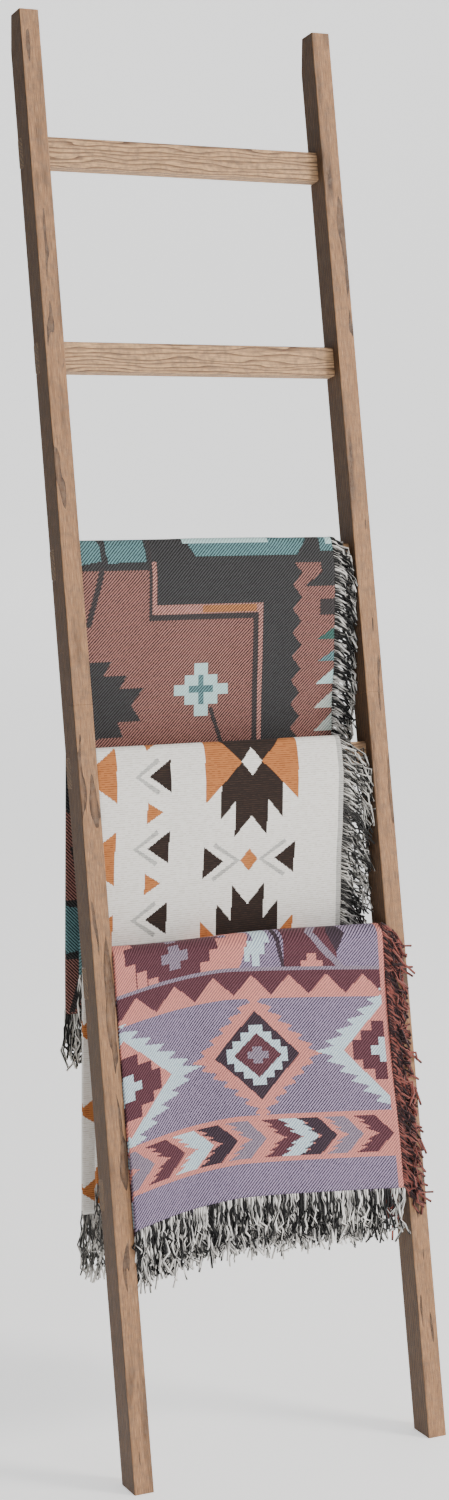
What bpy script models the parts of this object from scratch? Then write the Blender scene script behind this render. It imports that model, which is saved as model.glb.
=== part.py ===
"""Leaning blanket ladder in stained softwood, with three folded throws hung over its rungs.

Units are metres and +Z is up. +X runs along the rungs, to the right as seen from the front, and the wall that
the ladder leans on is towards +Y. The origin is on the floor, in the middle of the space the ladder takes.

The wood is modelled in the ladder's own leaning frame: X as above, Y from the rails' front face to their back
face, and Z along the rails from the floor. The throws hang plumb, so they are modelled in the world frame.
"""
import math

import bmesh
import bpy
from mathutils import Vector

# Rails, each in two lengths that meet in a half-lap joint
LEAN = math.radians(11.45)       # from the vertical, towards the wall
OVERALL_WIDTH = 0.4395           # over the rails' outer faces
RAIL_LENGTH = 1.830
RAIL_WIDTH = 0.026
RAIL_DEPTH = 0.0375
RAIL_EDGE_RADIUS = 0.0015
TOP_FLAT = 0.0273                # square end of a rail, before the cut that lies against the wall
LAP_RUNG = 3                     # the half-lap lies above this rung, counted from the floor
LAP_ABOVE_RUNG = 0.0631          # wood between that rung and the half-lap
LAP_LENGTH = 0.0665

# Rungs, let into notches in the back of the rails
RUNG_COUNT = 6
LOWEST_RUNG = 0.340              # lower face of the lowest rung, along the rail
RUNG_PITCH = 0.2592
RUNG_HEIGHT = 0.038
RUNG_THICKNESS = 0.024
RUNG_EDGE_RADIUS = 0.003
TENON_THICKNESS = 0.013

# Countersunk wood screws, driven from the back
SCREW_COVER = 0.0075             # wood left in front of a screw's tip
SCREW_RADIUS = 0.0018
SCREW_TIP = 0.005
HEAD_RADIUS = 0.0038
HEAD_DEPTH = 0.0026
HEAD_SINK = 0.0003               # how far a head lies below the wood
RECESS_SPAN = 0.0044
RECESS_SLOT = 0.0010
RECESS_DEPTH = 0.0014
LAP_SCREW_SPACING = 0.032

# Throws: woven cotton, folded and hung over a rung
LAYER = 0.0016                   # thickness of one layer of cloth in a fold
HANG_LENGTH = 1.170              # woven length of a throw, from end to end
END_FRINGE = 0.045               # hangs below each end of a throw
FRINGE_THICKNESS = 0.005
REST_GAP = 0.0004                # between a throw and the wood it rests on
SIDE_GAP = 0.0007                # between a throw and the rails beside it
LAP_OVER_CLOTH = 0.010           # how far the lower throw's side fringe lies over its own cloth
RAIL_SHOWING = 0.0035            # outer strip of the right rail that this fringe leaves bare

# rung: the rung it hangs on, from the floor. fold: layers of cloth. back: drop behind the rung.
# side: room kept for the fringe between the cloth and the right rail. crown: looseness on top of the rung.
# halves: 2 where the throw is also folded end to end.
THROWS = {
    "upper_throw": {"rung": 4, "fold": 4, "halves": 1, "back": 0.590, "side": 0.0300, "crown": 0.0015},
    "middle_throw": {"rung": 3, "fold": 4, "halves": 1, "back": 0.585, "side": 0.0415, "crown": 0.0020},
    "lower_throw": {"rung": 2, "fold": 8, "halves": 2, "back": 0.225, "side": 0.0077, "crown": 0.0080},
}

FIT_GAP = 0.0003                 # between pieces that touch
OUTSIDE = 0.02                   # how far a cutter stands out of the piece it cuts
ARC_STEP = math.radians(15)
CORNER_STEPS = 3                 # facets in a rounded edge of the wood
SCREW_SIDES = 12
SHARP_ANGLE = math.radians(35)   # edges flatter than this are shaded smooth
WELD = 1e-6

RAIL_COLOUR = (0.42, 0.27, 0.17)
RUNG_COLOUR = (0.36, 0.24, 0.15)
ZINC_COLOUR = (0.62, 0.60, 0.55)
WOOD_ROUGHNESS = 0.6
ZINC_ROUGHNESS = 0.35
CLOTH_ROUGHNESS = 0.95
CLOTH_COLOURS = {
    "upper_throw": (0.33, 0.22, 0.20),
    "middle_throw": (0.80, 0.77, 0.71),
    "lower_throw": (0.34, 0.24, 0.29),
}
FRINGE_COLOURS = {
    "upper_throw": (0.10, 0.10, 0.10),
    "middle_throw": (0.42, 0.40, 0.36),
    "lower_throw": (0.24, 0.11, 0.12),
}

LAP_BOTTOM = LOWEST_RUNG + (LAP_RUNG - 1) * RUNG_PITCH + RUNG_HEIGHT + LAP_ABOVE_RUNG
LAP_TOP = LAP_BOTTOM + LAP_LENGTH
CLEAR_WIDTH = OVERALL_WIDTH - 2 * RAIL_WIDTH
INNER_FACE = CLEAR_WIDTH / 2
RAIL_MIDDLE = (OVERALL_WIDTH - RAIL_WIDTH) / 2
RUNG_FRONT = RAIL_DEPTH - RUNG_THICKNESS
WALL = RAIL_LENGTH * math.sin(LEAN) + TOP_FLAT * math.cos(LEAN)   # from the rails' front foot edge
SCREW_LENGTH = RAIL_DEPTH - SCREW_COVER


def clear_scene():
    for old in list(bpy.data.objects):
        bpy.data.objects.remove(old, do_unlink=True)


def paint(name, colour, roughness, metallic=0.0):
    material = bpy.data.materials.new(name)
    material.use_nodes = True
    shader = material.node_tree.nodes["Principled BSDF"]
    shader.inputs["Base Color"].default_value = (*colour, 1.0)
    shader.inputs["Roughness"].default_value = roughness
    shader.inputs["Metallic"].default_value = metallic
    return material


def add_object(name, mesh, parent=None):
    piece = bpy.data.objects.new(name, mesh)
    piece.parent = parent
    bpy.context.collection.objects.link(piece)
    return piece


def to_mesh(name, shape):
    bmesh.ops.recalc_face_normals(shape, faces=shape.faces)
    mesh = bpy.data.meshes.new(name)
    shape.to_mesh(mesh)
    shape.free()
    return mesh


def smooth(mesh):
    mesh.shade_smooth()
    mesh.set_sharp_from_angle(angle=SHARP_ANGLE)


def hide_cutter(cutter):
    cutter.hide_render = True
    cutter.display_type = "WIRE"
    return cutter


def cut(piece, cutter):
    modifier = piece.modifiers.new(cutter.name, "BOOLEAN")
    modifier.operation = "DIFFERENCE"
    modifier.object = cutter


def prism(outline, start, end, place):
    """Extrude a closed outline from start to end. place turns (u, v, w) into a position."""
    shape = bmesh.new()
    near = [shape.verts.new(place(u, v, start)) for u, v in outline]
    far = [shape.verts.new(place(u, v, end)) for u, v in outline]
    shape.faces.new(near)
    shape.faces.new(far)
    for here in range(len(outline)):
        after = (here + 1) % len(outline)
        shape.faces.new((near[here], near[after], far[after], far[here]))
    return shape


def along_x(u, v, w):
    return (w, u, v)


def along_z(u, v, w):
    return (u, v, w)


def rounded_rectangle(low, high, radius):
    """Outline of a bar's section, with each corner turned in CORNER_STEPS facets."""
    points = []
    corners = [(high[0], high[1]), (low[0], high[1]), (low[0], low[1]), (high[0], low[1])]
    for number, corner in enumerate(corners):
        centre = [min(max(corner[k], low[k] + radius), high[k] - radius) for k in (0, 1)]
        for step in range(CORNER_STEPS + 1):
            angle = math.pi / 2 * (number + step / CORNER_STEPS)
            points.append((centre[0] + radius * math.cos(angle), centre[1] + radius * math.sin(angle)))
    return points


def box_cutter(name, low, high, parent):
    outline = [(low[0], low[1]), (high[0], low[1]), (high[0], high[1]), (low[0], high[1])]
    shape = prism(outline, low[2], high[2], along_z)
    return hide_cutter(add_object(name, to_mesh(name, shape), parent))


def turned(profile):
    """Turn a profile of (radius, depth) points about the Y axis, with depth running towards -Y."""
    shape = bmesh.new()
    points = [shape.verts.new((radius, -depth, 0.0)) for radius, depth in profile]
    edges = [shape.edges.new(pair) for pair in zip(points, points[1:])]
    bmesh.ops.spin(shape, geom=points + edges, cent=(0, 0, 0), axis=(0, 1, 0), angle=2 * math.pi,
                   steps=SCREW_SIDES, use_duplicate=False)
    bmesh.ops.remove_doubles(shape, verts=shape.verts, dist=WELD)
    return shape


def trim(shape, point, normal):
    """Cut away what lies beyond a plane, and close the cut."""
    everything = shape.verts[:] + shape.edges[:] + shape.faces[:]
    bmesh.ops.bisect_plane(shape, geom=everything, plane_co=point, plane_no=normal, clear_outer=True)
    rim = [edge for edge in shape.edges if edge.is_boundary]
    bmesh.ops.holes_fill(shape, edges=rim, sides=0)


def in_world(along, depth):
    """Place of a point in the ladder's frame, as world (y, z)."""
    y = along * math.sin(LEAN) + depth * math.cos(LEAN) - WALL / 2
    z = along * math.cos(LEAN) - depth * math.sin(LEAN)
    return Vector((y, z))


def rung_bottom(number):
    return LOWEST_RUNG + (number - 1) * RUNG_PITCH


def make_leaning_frame():
    frame = bpy.data.objects.new("leaning_frame", None)
    frame.location = (0, -WALL / 2, 0)
    frame.rotation_euler = (-LEAN, 0, 0)
    bpy.context.collection.objects.link(frame)
    return frame


def rail_bar(side, start, end):
    centre = side * RAIL_MIDDLE
    low = (centre - RAIL_WIDTH / 2, 0.0)
    high = (centre + RAIL_WIDTH / 2, RAIL_DEPTH)
    return prism(rounded_rectangle(low, high, RAIL_EDGE_RADIUS), start, end, along_z)


def make_lower_rail(name, side, frame, lap_cutter):
    shape = rail_bar(side, -OUTSIDE, LAP_TOP)
    trim(shape, (0, 0, 0), (0, math.sin(LEAN), -math.cos(LEAN)))
    rail = add_object(name, to_mesh(name, shape), frame)
    cut(rail, lap_cutter)
    return rail


def make_upper_rail(name, side, frame, lap_cutter):
    shape = rail_bar(side, LAP_BOTTOM, RAIL_LENGTH)
    trim(shape, (0, TOP_FLAT, RAIL_LENGTH), (0, math.cos(LEAN), math.sin(LEAN)))
    rail = add_object(name, to_mesh(name, shape), frame)
    cut(rail, lap_cutter)
    return rail


def make_rails(frame):
    """Four lengths of rail. The upper length keeps the front half of the lap, the lower one the back half."""
    half = RAIL_DEPTH / 2
    side = OVERALL_WIDTH / 2 + OUTSIDE
    front_half = box_cutter("front_half_cutter", (-side, -OUTSIDE, LAP_BOTTOM - FIT_GAP),
                            (side, half + FIT_GAP / 2, LAP_TOP + OUTSIDE), frame)
    back_half = box_cutter("back_half_cutter", (-side, half - FIT_GAP / 2, LAP_BOTTOM - OUTSIDE),
                           (side, RAIL_DEPTH + OUTSIDE, LAP_TOP + FIT_GAP), frame)
    rails = {}
    for word, direction in (("left", -1), ("right", 1)):
        rails[word, "lower"] = make_lower_rail(f"{word}_lower_rail", direction, frame, front_half)
        rails[word, "upper"] = make_upper_rail(f"{word}_upper_rail", direction, frame, back_half)
    for rail in rails.values():
        rail.data.materials.append(paint(rail.name, RAIL_COLOUR, WOOD_ROUGHNESS))
    return rails


def make_rungs(frame, rails):
    """Rungs whose thinner ends fill notches in the back of both rails, flush with their outer faces."""
    side = OVERALL_WIDTH / 2
    shoulder = INNER_FACE - FIT_GAP
    tenon_front = RAIL_DEPTH - TENON_THICKNESS
    shoulders = [
        box_cutter(f"{word}_shoulder_cutter", (min(near, far), -OUTSIDE, 0), (max(near, far), tenon_front,
                   RAIL_LENGTH), frame)
        for word, near, far in (("left", -shoulder, -side - OUTSIDE), ("right", shoulder, side + OUTSIDE))
    ]
    rungs = []
    for number in range(1, RUNG_COUNT + 1):
        bottom = rung_bottom(number)
        top = bottom + RUNG_HEIGHT
        name = f"rung_{number}"
        section = rounded_rectangle((RUNG_FRONT, bottom), (RAIL_DEPTH, top), RUNG_EDGE_RADIUS)
        rung = add_object(name, to_mesh(name, prism(section, -side, side, along_x)), frame)
        rung.data.materials.append(paint(name, RUNG_COLOUR, WOOD_ROUGHNESS))
        for cutter in shoulders:
            cut(rung, cutter)
        notch_low = (-side - OUTSIDE, tenon_front - FIT_GAP, bottom - FIT_GAP)
        notch_high = (side + OUTSIDE, RAIL_DEPTH + OUTSIDE, top + FIT_GAP)
        notch = box_cutter(f"notch_cutter_{number}", notch_low, notch_high, frame)
        level = "lower" if number <= LAP_RUNG else "upper"
        for word in ("left", "right"):
            cut(rails[word, level], notch)
        rungs.append(rung)
    return rungs


def screw_profile(gap, above):
    """Half section of a countersunk screw, grown by gap and carried on above its head."""
    start = [(0.0, -above), (HEAD_RADIUS + gap, -above)] if above else [(0.0, 0.0)]
    return start + [
        (HEAD_RADIUS + gap, 0.0),
        (SCREW_RADIUS + gap, HEAD_DEPTH),
        (SCREW_RADIUS + gap, SCREW_LENGTH - SCREW_TIP + gap),
        (0.0, SCREW_LENGTH + gap),
    ]


def make_screw_mesh():
    """A screw with a cross recess, made once and shared by every screw."""
    blank = add_object("screw_blank", to_mesh("screw", turned(screw_profile(0.0, 0.0))))
    span = RECESS_SPAN / 2
    slot = RECESS_SLOT / 2
    slots = [
        box_cutter("recess_cutter_x", (-span, -RECESS_DEPTH, -slot), (span, OUTSIDE, slot), None),
        box_cutter("recess_cutter_z", (-slot, -RECESS_DEPTH, -span), (slot, OUTSIDE, span), None),
    ]
    for cutter in slots:
        cut(blank, cutter)
    bpy.context.view_layer.update()
    mesh = bpy.data.meshes.new_from_object(blank.evaluated_get(bpy.context.evaluated_depsgraph_get()))
    mesh.name = "screw"
    smooth(mesh)
    for helper in [blank, *slots]:
        bpy.data.objects.remove(helper, do_unlink=True)
    return mesh


def make_screw(name, mesh, hole_mesh, place, frame, pieces):
    """Place one screw from the back, and cut its hole in the pieces that it holds together."""
    hole = hide_cutter(add_object(f"{name}_hole", hole_mesh, frame))
    screw = add_object(name, mesh.copy(), frame)
    screw.data.materials.append(paint(name, ZINC_COLOUR, ZINC_ROUGHNESS, 1.0))
    for piece in (hole, screw):
        piece.location = place
    for piece in pieces:
        cut(piece, hole)


def make_screws(frame, rails, rungs):
    mesh = make_screw_mesh()
    hole_mesh = to_mesh("screw_hole", turned(screw_profile(FIT_GAP, OUTSIDE)))
    head = RAIL_DEPTH - HEAD_SINK
    for word, side in (("left", -1), ("right", 1)):
        across = side * RAIL_MIDDLE
        for number, rung in enumerate(rungs, start=1):
            level = "lower" if number <= LAP_RUNG else "upper"
            place = (across, head, rung_bottom(number) + RUNG_HEIGHT / 2)
            held = [rung, rails[word, level]]
            make_screw(f"{word}_rung_screw_{number}", mesh, hole_mesh, place, frame, held)
        for number, end in enumerate((-1, 1), start=1):
            place = (across, head, LAP_BOTTOM + LAP_LENGTH / 2 + end * LAP_SCREW_SPACING / 2)
            held = [rails[word, "lower"], rails[word, "upper"]]
            make_screw(f"{word}_lap_screw_{number}", mesh, hole_mesh, place, frame, held)


def offset_path(corners, distance):
    """Path that keeps one distance outside a run of corners, and turns round each corner in an arc."""
    normals = []
    for here, after in zip(corners, corners[1:]):
        step = (after - here).normalized()
        normals.append(Vector((-step.y, step.x)))
    points = [corners[0] + normals[0] * distance]
    for corner, before, after in zip(corners[1:-1], normals, normals[1:]):
        start = math.atan2(before.y, before.x)
        turn = -before.angle(after)
        count = max(1, math.ceil(-turn / ARC_STEP))
        for number in range(count + 1):
            angle = start + turn * number / count
            points.append(corner + distance * Vector((math.cos(angle), math.sin(angle))))
    points.append(corners[-1] + normals[-1] * distance)
    return points


def path_length(points):
    return sum((after - here).length for here, after in zip(points, points[1:]))


def rung_corners(number):
    """Corners of a rung's section that a throw passes, from its front foot over the top to the back."""
    bottom = rung_bottom(number)
    top = bottom + RUNG_HEIGHT
    return [in_world(bottom, RUNG_FRONT), in_world(top, RUNG_FRONT), in_world(top, RAIL_DEPTH)]


def crowding(rung):
    """Slope that the throw on the rung below gives to a hanging throw's front, where the two lack room."""
    layers = {throw["rung"]: throw["fold"] for throw in THROWS.values()}
    below = layers.get(rung - 1, 0) * LAYER
    foot = rung_corners(rung)[0]
    back_top = rung_corners(rung - 1)[2]
    needed = layers[rung] * LAYER + below + 2 * REST_GAP
    lowest_contact = foot.y - back_top.y - below
    return max(0.0, needed - (foot.x - back_top.x)) / lowest_contact


def hanging_route(rung, front, back, crown):
    """Corners under a throw that hangs on both sides of its rung, plumb where nothing crowds it."""
    foot, front_top, back_top = rung_corners(rung)
    lift = Vector((0.0, crown))
    front_end = foot + front * Vector((crowding(rung), -1.0))
    return [front_end, foot, front_top + lift, back_top + lift, back_top - Vector((0.0, back))]


def leaning_route(rung, front, back, crown):
    """Corners under a throw whose front lies on its rung and on the rung below."""
    bottom = rung_bottom(rung)
    front_top, back_top = rung_corners(rung)[1:]
    lift = Vector((0.0, crown))
    return [in_world(bottom - front, RUNG_FRONT), front_top + lift, back_top + lift,
            back_top - Vector((0.0, back))]


def throw_route(name, crown):
    """Route of a throw with the front length that its woven length leaves."""
    throw = THROWS[name]
    route = leaning_route if name == "lower_throw" else hanging_route
    middle_layer = REST_GAP + throw["fold"] * LAYER / 2
    trial = HANG_LENGTH / 4
    spent = path_length(offset_path(route(throw["rung"], trial, throw["back"], crown), middle_layer)) - trial
    front = HANG_LENGTH / throw["halves"] - spent
    return route(throw["rung"], front, throw["back"], crown)


def wrap(name, colour, left, right, inner, outer):
    """Closed solid between two paths, from left to right along the rung."""
    shape = prism(outer + inner[::-1], left, right, along_x)
    piece = add_object(name, to_mesh(name, shape))
    smooth(piece.data)
    piece.data.materials.append(paint(name, colour, CLOTH_ROUGHNESS))
    return piece


def make_cloth(name):
    throw = THROWS[name]
    thickness = throw["fold"] * LAYER
    left = -INNER_FACE + SIDE_GAP
    right = INNER_FACE - SIDE_GAP - throw["side"]
    inner = offset_path(throw_route(name, 0.0), REST_GAP)
    outer = offset_path(throw_route(name, throw["crown"]), REST_GAP + thickness)
    wrap(name, CLOTH_COLOURS[name], left, right, inner, outer)
    return left, right, thickness


def make_side_fringe(name, edge, thickness):
    """Fringe between the cloth's edge and the right rail, along the whole throw."""
    route = throw_route(name, 0.0)
    inside = REST_GAP + (thickness - FRINGE_THICKNESS) / 2
    wrap(f"{name}_side_fringe", FRINGE_COLOURS[name], edge + FIT_GAP, INNER_FACE - SIDE_GAP,
         offset_path(route, inside), offset_path(route, inside + FRINGE_THICKNESS))


def make_fringe_over_rail(name, edge, thickness):
    """Fringe of the lower throw, which lies on its own front and on the right rail's front face."""
    cloth_front = RUNG_FRONT - REST_GAP - thickness - THROWS[name]["crown"] * math.sin(LEAN)
    back = min(cloth_front, 0.0) - FIT_GAP
    front = back - FRINGE_THICKNESS
    lower_end = throw_route(name, 0.0)[0] + Vector((WALL / 2, 0.0))
    start = lower_end.dot(Vector((math.sin(LEAN), math.cos(LEAN))))
    end = rung_bottom(THROWS[name]["rung"]) + RUNG_HEIGHT
    wrap(f"{name}_side_fringe", FRINGE_COLOURS[name], edge - LAP_OVER_CLOTH,
         OVERALL_WIDTH / 2 - RAIL_SHOWING, [in_world(start, back), in_world(end, back)],
         [in_world(start, front), in_world(end, front)])


def make_end_fringe(name, corner, outward, left, right, thickness, depth):
    """Fringe that hangs plumb below one end of a throw, under the middle of its layers."""
    middle = corner.x + outward * (REST_GAP + thickness / 2)
    top = corner.y - FIT_GAP
    near = [Vector((middle - depth / 2, top)), Vector((middle - depth / 2, top - END_FRINGE))]
    far = [Vector((middle + depth / 2, top)), Vector((middle + depth / 2, top - END_FRINGE))]
    wrap(name, FRINGE_COLOURS[name.rsplit("_", 2)[0]], left, right, near, far)


def make_hanging_throw(name):
    left, right, thickness = make_cloth(name)
    make_side_fringe(name, right, thickness)
    route = throw_route(name, 0.0)
    make_end_fringe(f"{name}_front_fringe", route[0], -1, left, right, thickness, FRINGE_THICKNESS)
    make_end_fringe(f"{name}_back_fringe", route[-1], 1, left, right, thickness, FRINGE_THICKNESS)


def make_lower_throw(name):
    """This throw is folded once more, so both of its fringed ends hang at the front."""
    left, right, thickness = make_cloth(name)
    make_fringe_over_rail(name, right, thickness)
    corner = throw_route(name, 0.0)[0]
    make_end_fringe(f"{name}_front_fringe", corner, -1, left, right, thickness, 2 * FRINGE_THICKNESS)


def main():
    clear_scene()
    frame = make_leaning_frame()
    rails = make_rails(frame)
    rungs = make_rungs(frame, rails)
    make_screws(frame, rails, rungs)
    make_hanging_throw("upper_throw")
    make_hanging_throw("middle_throw")
    make_lower_throw("lower_throw")
    bpy.context.view_layer.update()


main()
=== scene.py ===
"""Looks of a leaning blanket ladder in stained softwood, with three jacquard throws over its rungs.

Every length is in metres in the shared frame: +X to the right along the rungs, +Y towards the wall, +Z up.
Woven patterns are drawn in millimetres on the cloth: u from a throw's left fold, v down from its rung.
"""
import math

import bmesh
import bpy
import numpy as np
from mathutils import Matrix, Vector


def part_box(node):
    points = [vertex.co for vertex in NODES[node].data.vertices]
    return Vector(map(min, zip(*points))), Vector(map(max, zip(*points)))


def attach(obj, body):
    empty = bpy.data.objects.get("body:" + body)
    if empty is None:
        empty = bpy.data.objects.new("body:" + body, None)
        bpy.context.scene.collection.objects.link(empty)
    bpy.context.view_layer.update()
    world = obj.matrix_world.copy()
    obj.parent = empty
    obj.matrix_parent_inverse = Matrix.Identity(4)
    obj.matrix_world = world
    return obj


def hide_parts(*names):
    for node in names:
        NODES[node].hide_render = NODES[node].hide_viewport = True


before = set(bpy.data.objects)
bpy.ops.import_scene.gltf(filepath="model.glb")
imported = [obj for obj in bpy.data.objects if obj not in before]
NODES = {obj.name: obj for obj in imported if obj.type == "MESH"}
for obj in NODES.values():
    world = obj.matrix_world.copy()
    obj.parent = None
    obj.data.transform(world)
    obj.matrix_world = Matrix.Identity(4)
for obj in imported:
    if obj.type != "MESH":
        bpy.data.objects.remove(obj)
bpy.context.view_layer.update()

# The ladder, as the frame has it
LEAN = math.radians(11.45)
OVERALL_WIDTH = 0.4395
RAIL_WIDTH = 0.026
RAIL_DEPTH = 0.0375
RUNG_HEIGHT = 0.038
RUNG_THICKNESS = 0.024
LOWEST_RUNG = 0.340
RUNG_PITCH = 0.2592
INNER_FACE = OVERALL_WIDTH / 2 - RAIL_WIDTH
RUNG_FRONT = RAIL_DEPTH - RUNG_THICKNESS
HALF_DEPTH = 0.195018             # from the rails' front foot edges to the middle of the floor they take
OUT_OF_RAIL = Vector((0, -math.cos(LEAN), math.sin(LEAN)))

# The throws
WOVEN_LENGTH = 1.170
LAYER = 0.0016                    # room that one layer of cloth takes in a fold
CLOTH = 0.0010                    # thickness of the cloth itself
LAYERS = 4                        # folded lengthwise
REST_GAP = 0.0004                 # between a rung and the innermost layer
ROW = 0.006                       # mesh rows along a throw
FINE_ROW = 0.0016                 # mesh rows over its rung,
ROUND_RUNG = 0.042                # and as far as this on both sides of the rung's top
COLUMN = 0.0045                   # mesh columns across the front
HIDDEN_COLUMNS = 12               # and across each inner layer
ROUND_STEPS = 8                   # turns of a path at a corner
FAR = 1.5                         # how far a path runs on below the cloth, in front and behind
LOWER_FRONT_TOP = 0.662           # up the rails, the top of the lowest throw's front
LOWER_BACK = 0.2192               # how far the lowest throw hangs behind its rung


def linear(code):
    """Linear colour of an sRGB hex value."""
    channels = [int(code[k:k + 2], 16) / 255 for k in (1, 3, 5)]
    return tuple(c / 12.92 if c <= 0.04045 else ((c + 0.055) / 1.055) ** 2.4 for c in channels) + (1.0,)


def add(tree, kind, *values, named=None, **settings):
    """Add a node with its settings. Values go to its sockets in order, and those in named by their names."""
    node = tree.nodes.new(kind)
    for name, setting in settings.items():
        setattr(node, name, setting)
    pairs = list(zip([socket for socket in node.inputs if socket.enabled], values))
    pairs += [(node.inputs[name], value) for name, value in (named or {}).items()]
    for socket, value in pairs:
        if isinstance(value, bpy.types.NodeSocket):
            tree.links.new(value, socket)
        elif value is not None:
            socket.default_value = value
    return next((socket for socket in node.outputs if socket.enabled), node)


def new_material(name):
    """An empty node material and its tree."""
    material = bpy.data.materials.new(name)
    material.use_nodes = True
    material.node_tree.nodes.clear()
    return material, material.node_tree


def finish_material(tree, surface):
    add(tree, "ShaderNodeOutputMaterial", surface)


# ---------------------------------------------------------------- routes over the rungs

def in_world(along, depth):
    """World (y, z) of a point in the ladder's frame: along the rails, and into them."""
    return np.array((along * math.sin(LEAN) + depth * math.cos(LEAN) - HALF_DEPTH,
                     along * math.cos(LEAN) - depth * math.sin(LEAN)))


def rung_section(number):
    """Front foot, front top and back top corners of a rung's section."""
    bottom = LOWEST_RUNG + (number - 1) * RUNG_PITCH
    top = bottom + RUNG_HEIGHT
    return in_world(bottom, RUNG_FRONT), in_world(top, RUNG_FRONT), in_world(top, RAIL_DEPTH)


def corners_under(throw):
    """Corners that a throw's cloth turns round, from far below its front to far below its back."""
    foot, front_top, back_top = rung_section(throw["rung"])
    lift = np.array((0.0, throw["crown"]))
    down = np.array((0.0, -FAR))
    over_the_rung = [front_top + lift, back_top + lift, back_top + down]
    if throw["leans"]:
        return [front_top - FAR * np.array((math.sin(LEAN), math.cos(LEAN)))] + over_the_rung
    return [foot + down, foot] + over_the_rung


def layer_path(corners, distance):
    """Path at one distance outside the corners, as points and their lengths from the top of the rung."""
    normals = []
    for here, after in zip(corners, corners[1:]):
        step = (after - here) / np.linalg.norm(after - here)
        normals.append(np.array((-step[1], step[0])))
    points = [corners[0] + normals[0] * distance]
    top = None
    for number, corner in enumerate(corners[1:-1]):
        before, after = normals[number], normals[number + 1]
        start = math.atan2(before[1], before[0])
        turn = math.atan2(before[0] * after[1] - before[1] * after[0], float(before @ after))
        for step in range(ROUND_STEPS + 1):
            angle = start + turn * step / ROUND_STEPS
            points.append(corner + distance * np.array((math.cos(angle), math.sin(angle))))
        if number == len(corners) - 4:
            top = len(points) - 1
    points.append(corners[-1] + normals[-1] * distance)
    points = np.array(points)
    lengths = np.concatenate([[0], np.cumsum(np.linalg.norm(np.diff(points, axis=0), axis=1))])
    middle = (lengths[top] + lengths[top + 1]) / 2
    return points, middle - lengths


def on_path(path, where):
    """Points of a path at signed distances from the top of the rung, the front being positive."""
    points, lengths = path
    order = slice(None, None, -1)
    return np.stack([np.interp(where, lengths[order], points[order, k]) for k in (0, 1)], axis=-1)


# ---------------------------------------------------------------- folded throws

# Which rung, whether the front lies along the rails, how high the cloth rounds the rung's top, the width of
# the inner layers, how deep its soft folds are, and the room for swelling: down to so far in front, and its
# share behind.
THROWS = {
    "upper_throw": {"rung": 4, "leans": False, "crown": 0.0015, "inner": 0.3530, "waves": 0.0012,
                    "room": (0.22, 1.0)},
    "middle_throw": {"rung": 3, "leans": False, "crown": 0.0020, "inner": 0.3430, "waves": 0.0009,
                     "room": (0.17, 0.5)},
    "lower_throw": {"rung": 2, "leans": True, "crown": 0.0080, "inner": 0.3470, "waves": 0.0014,
                    "room": (0.50, 0.0)},
}
SETTLING_FRAMES = 30
MOST_SWELL = 0.0045               # the cloth's neighbours leave no more room than this
HELD = 0.022                      # cloth this near the rung's top doesn't slip
FADE = 0.040                      # length over which the swelling dies away
STRIP_COLUMNS = 27                # of the coarse strip that stands for a throw while it settles
STRIP_ROW = 0.013
SMOOTHINGS = 2
HIGHEST_AT = 0.150                # across the lowest throw, where its lower edge hangs highest,
SLIPPED_LEFT = 0.0215             # and how much lower it hangs at either side
SLIPPED_RIGHT = 0.0155


def slip(name, u):
    """How much further a throw hangs in front, where it was laid on slightly askew."""
    if name != "lower_throw":
        return 0.0
    left = np.clip((HIGHEST_AT - u) / HIGHEST_AT, 0, 1)
    right = np.clip((u - HIGHEST_AT) / 0.220, 0, 1)
    return SLIPPED_LEFT * left ** 1.7 + SLIPPED_RIGHT * right ** 1.2


def room_for_swell(throw, where):
    """Share of the swelling that the neighbours leave room for, along a throw."""
    front, behind = throw["room"]
    return np.where(where > 0, np.clip((front - where) / FADE, 0, 1), behind)


def waves(name, x, where):
    """Outward swell of the cloth: soft upright folds that start below the rung."""
    throw = THROWS[name]
    below = np.clip((np.abs(where) - 0.02) / 0.14, 0, 1)
    broad = np.sin(26 * x + 2.0 * np.sin(9 * x + throw["rung"]))
    narrow = np.sin(51 * x + 7 * where + throw["rung"])
    swell = throw["waves"] * below * (broad + 0.6 * narrow) * room_for_swell(throw, where)
    if throw["leans"]:
        hang = np.clip(where / 0.30, 0, 1)
        hollow = 0.0045 * np.sin(math.pi * hang) * (where > 0)
        roll = 0.0035 * np.exp(-((where - 0.004) / 0.028) ** 2) * (1 + 0.5 * np.sin(19 * x + 1))
        swell = swell - hollow + roll
    return swell


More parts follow.
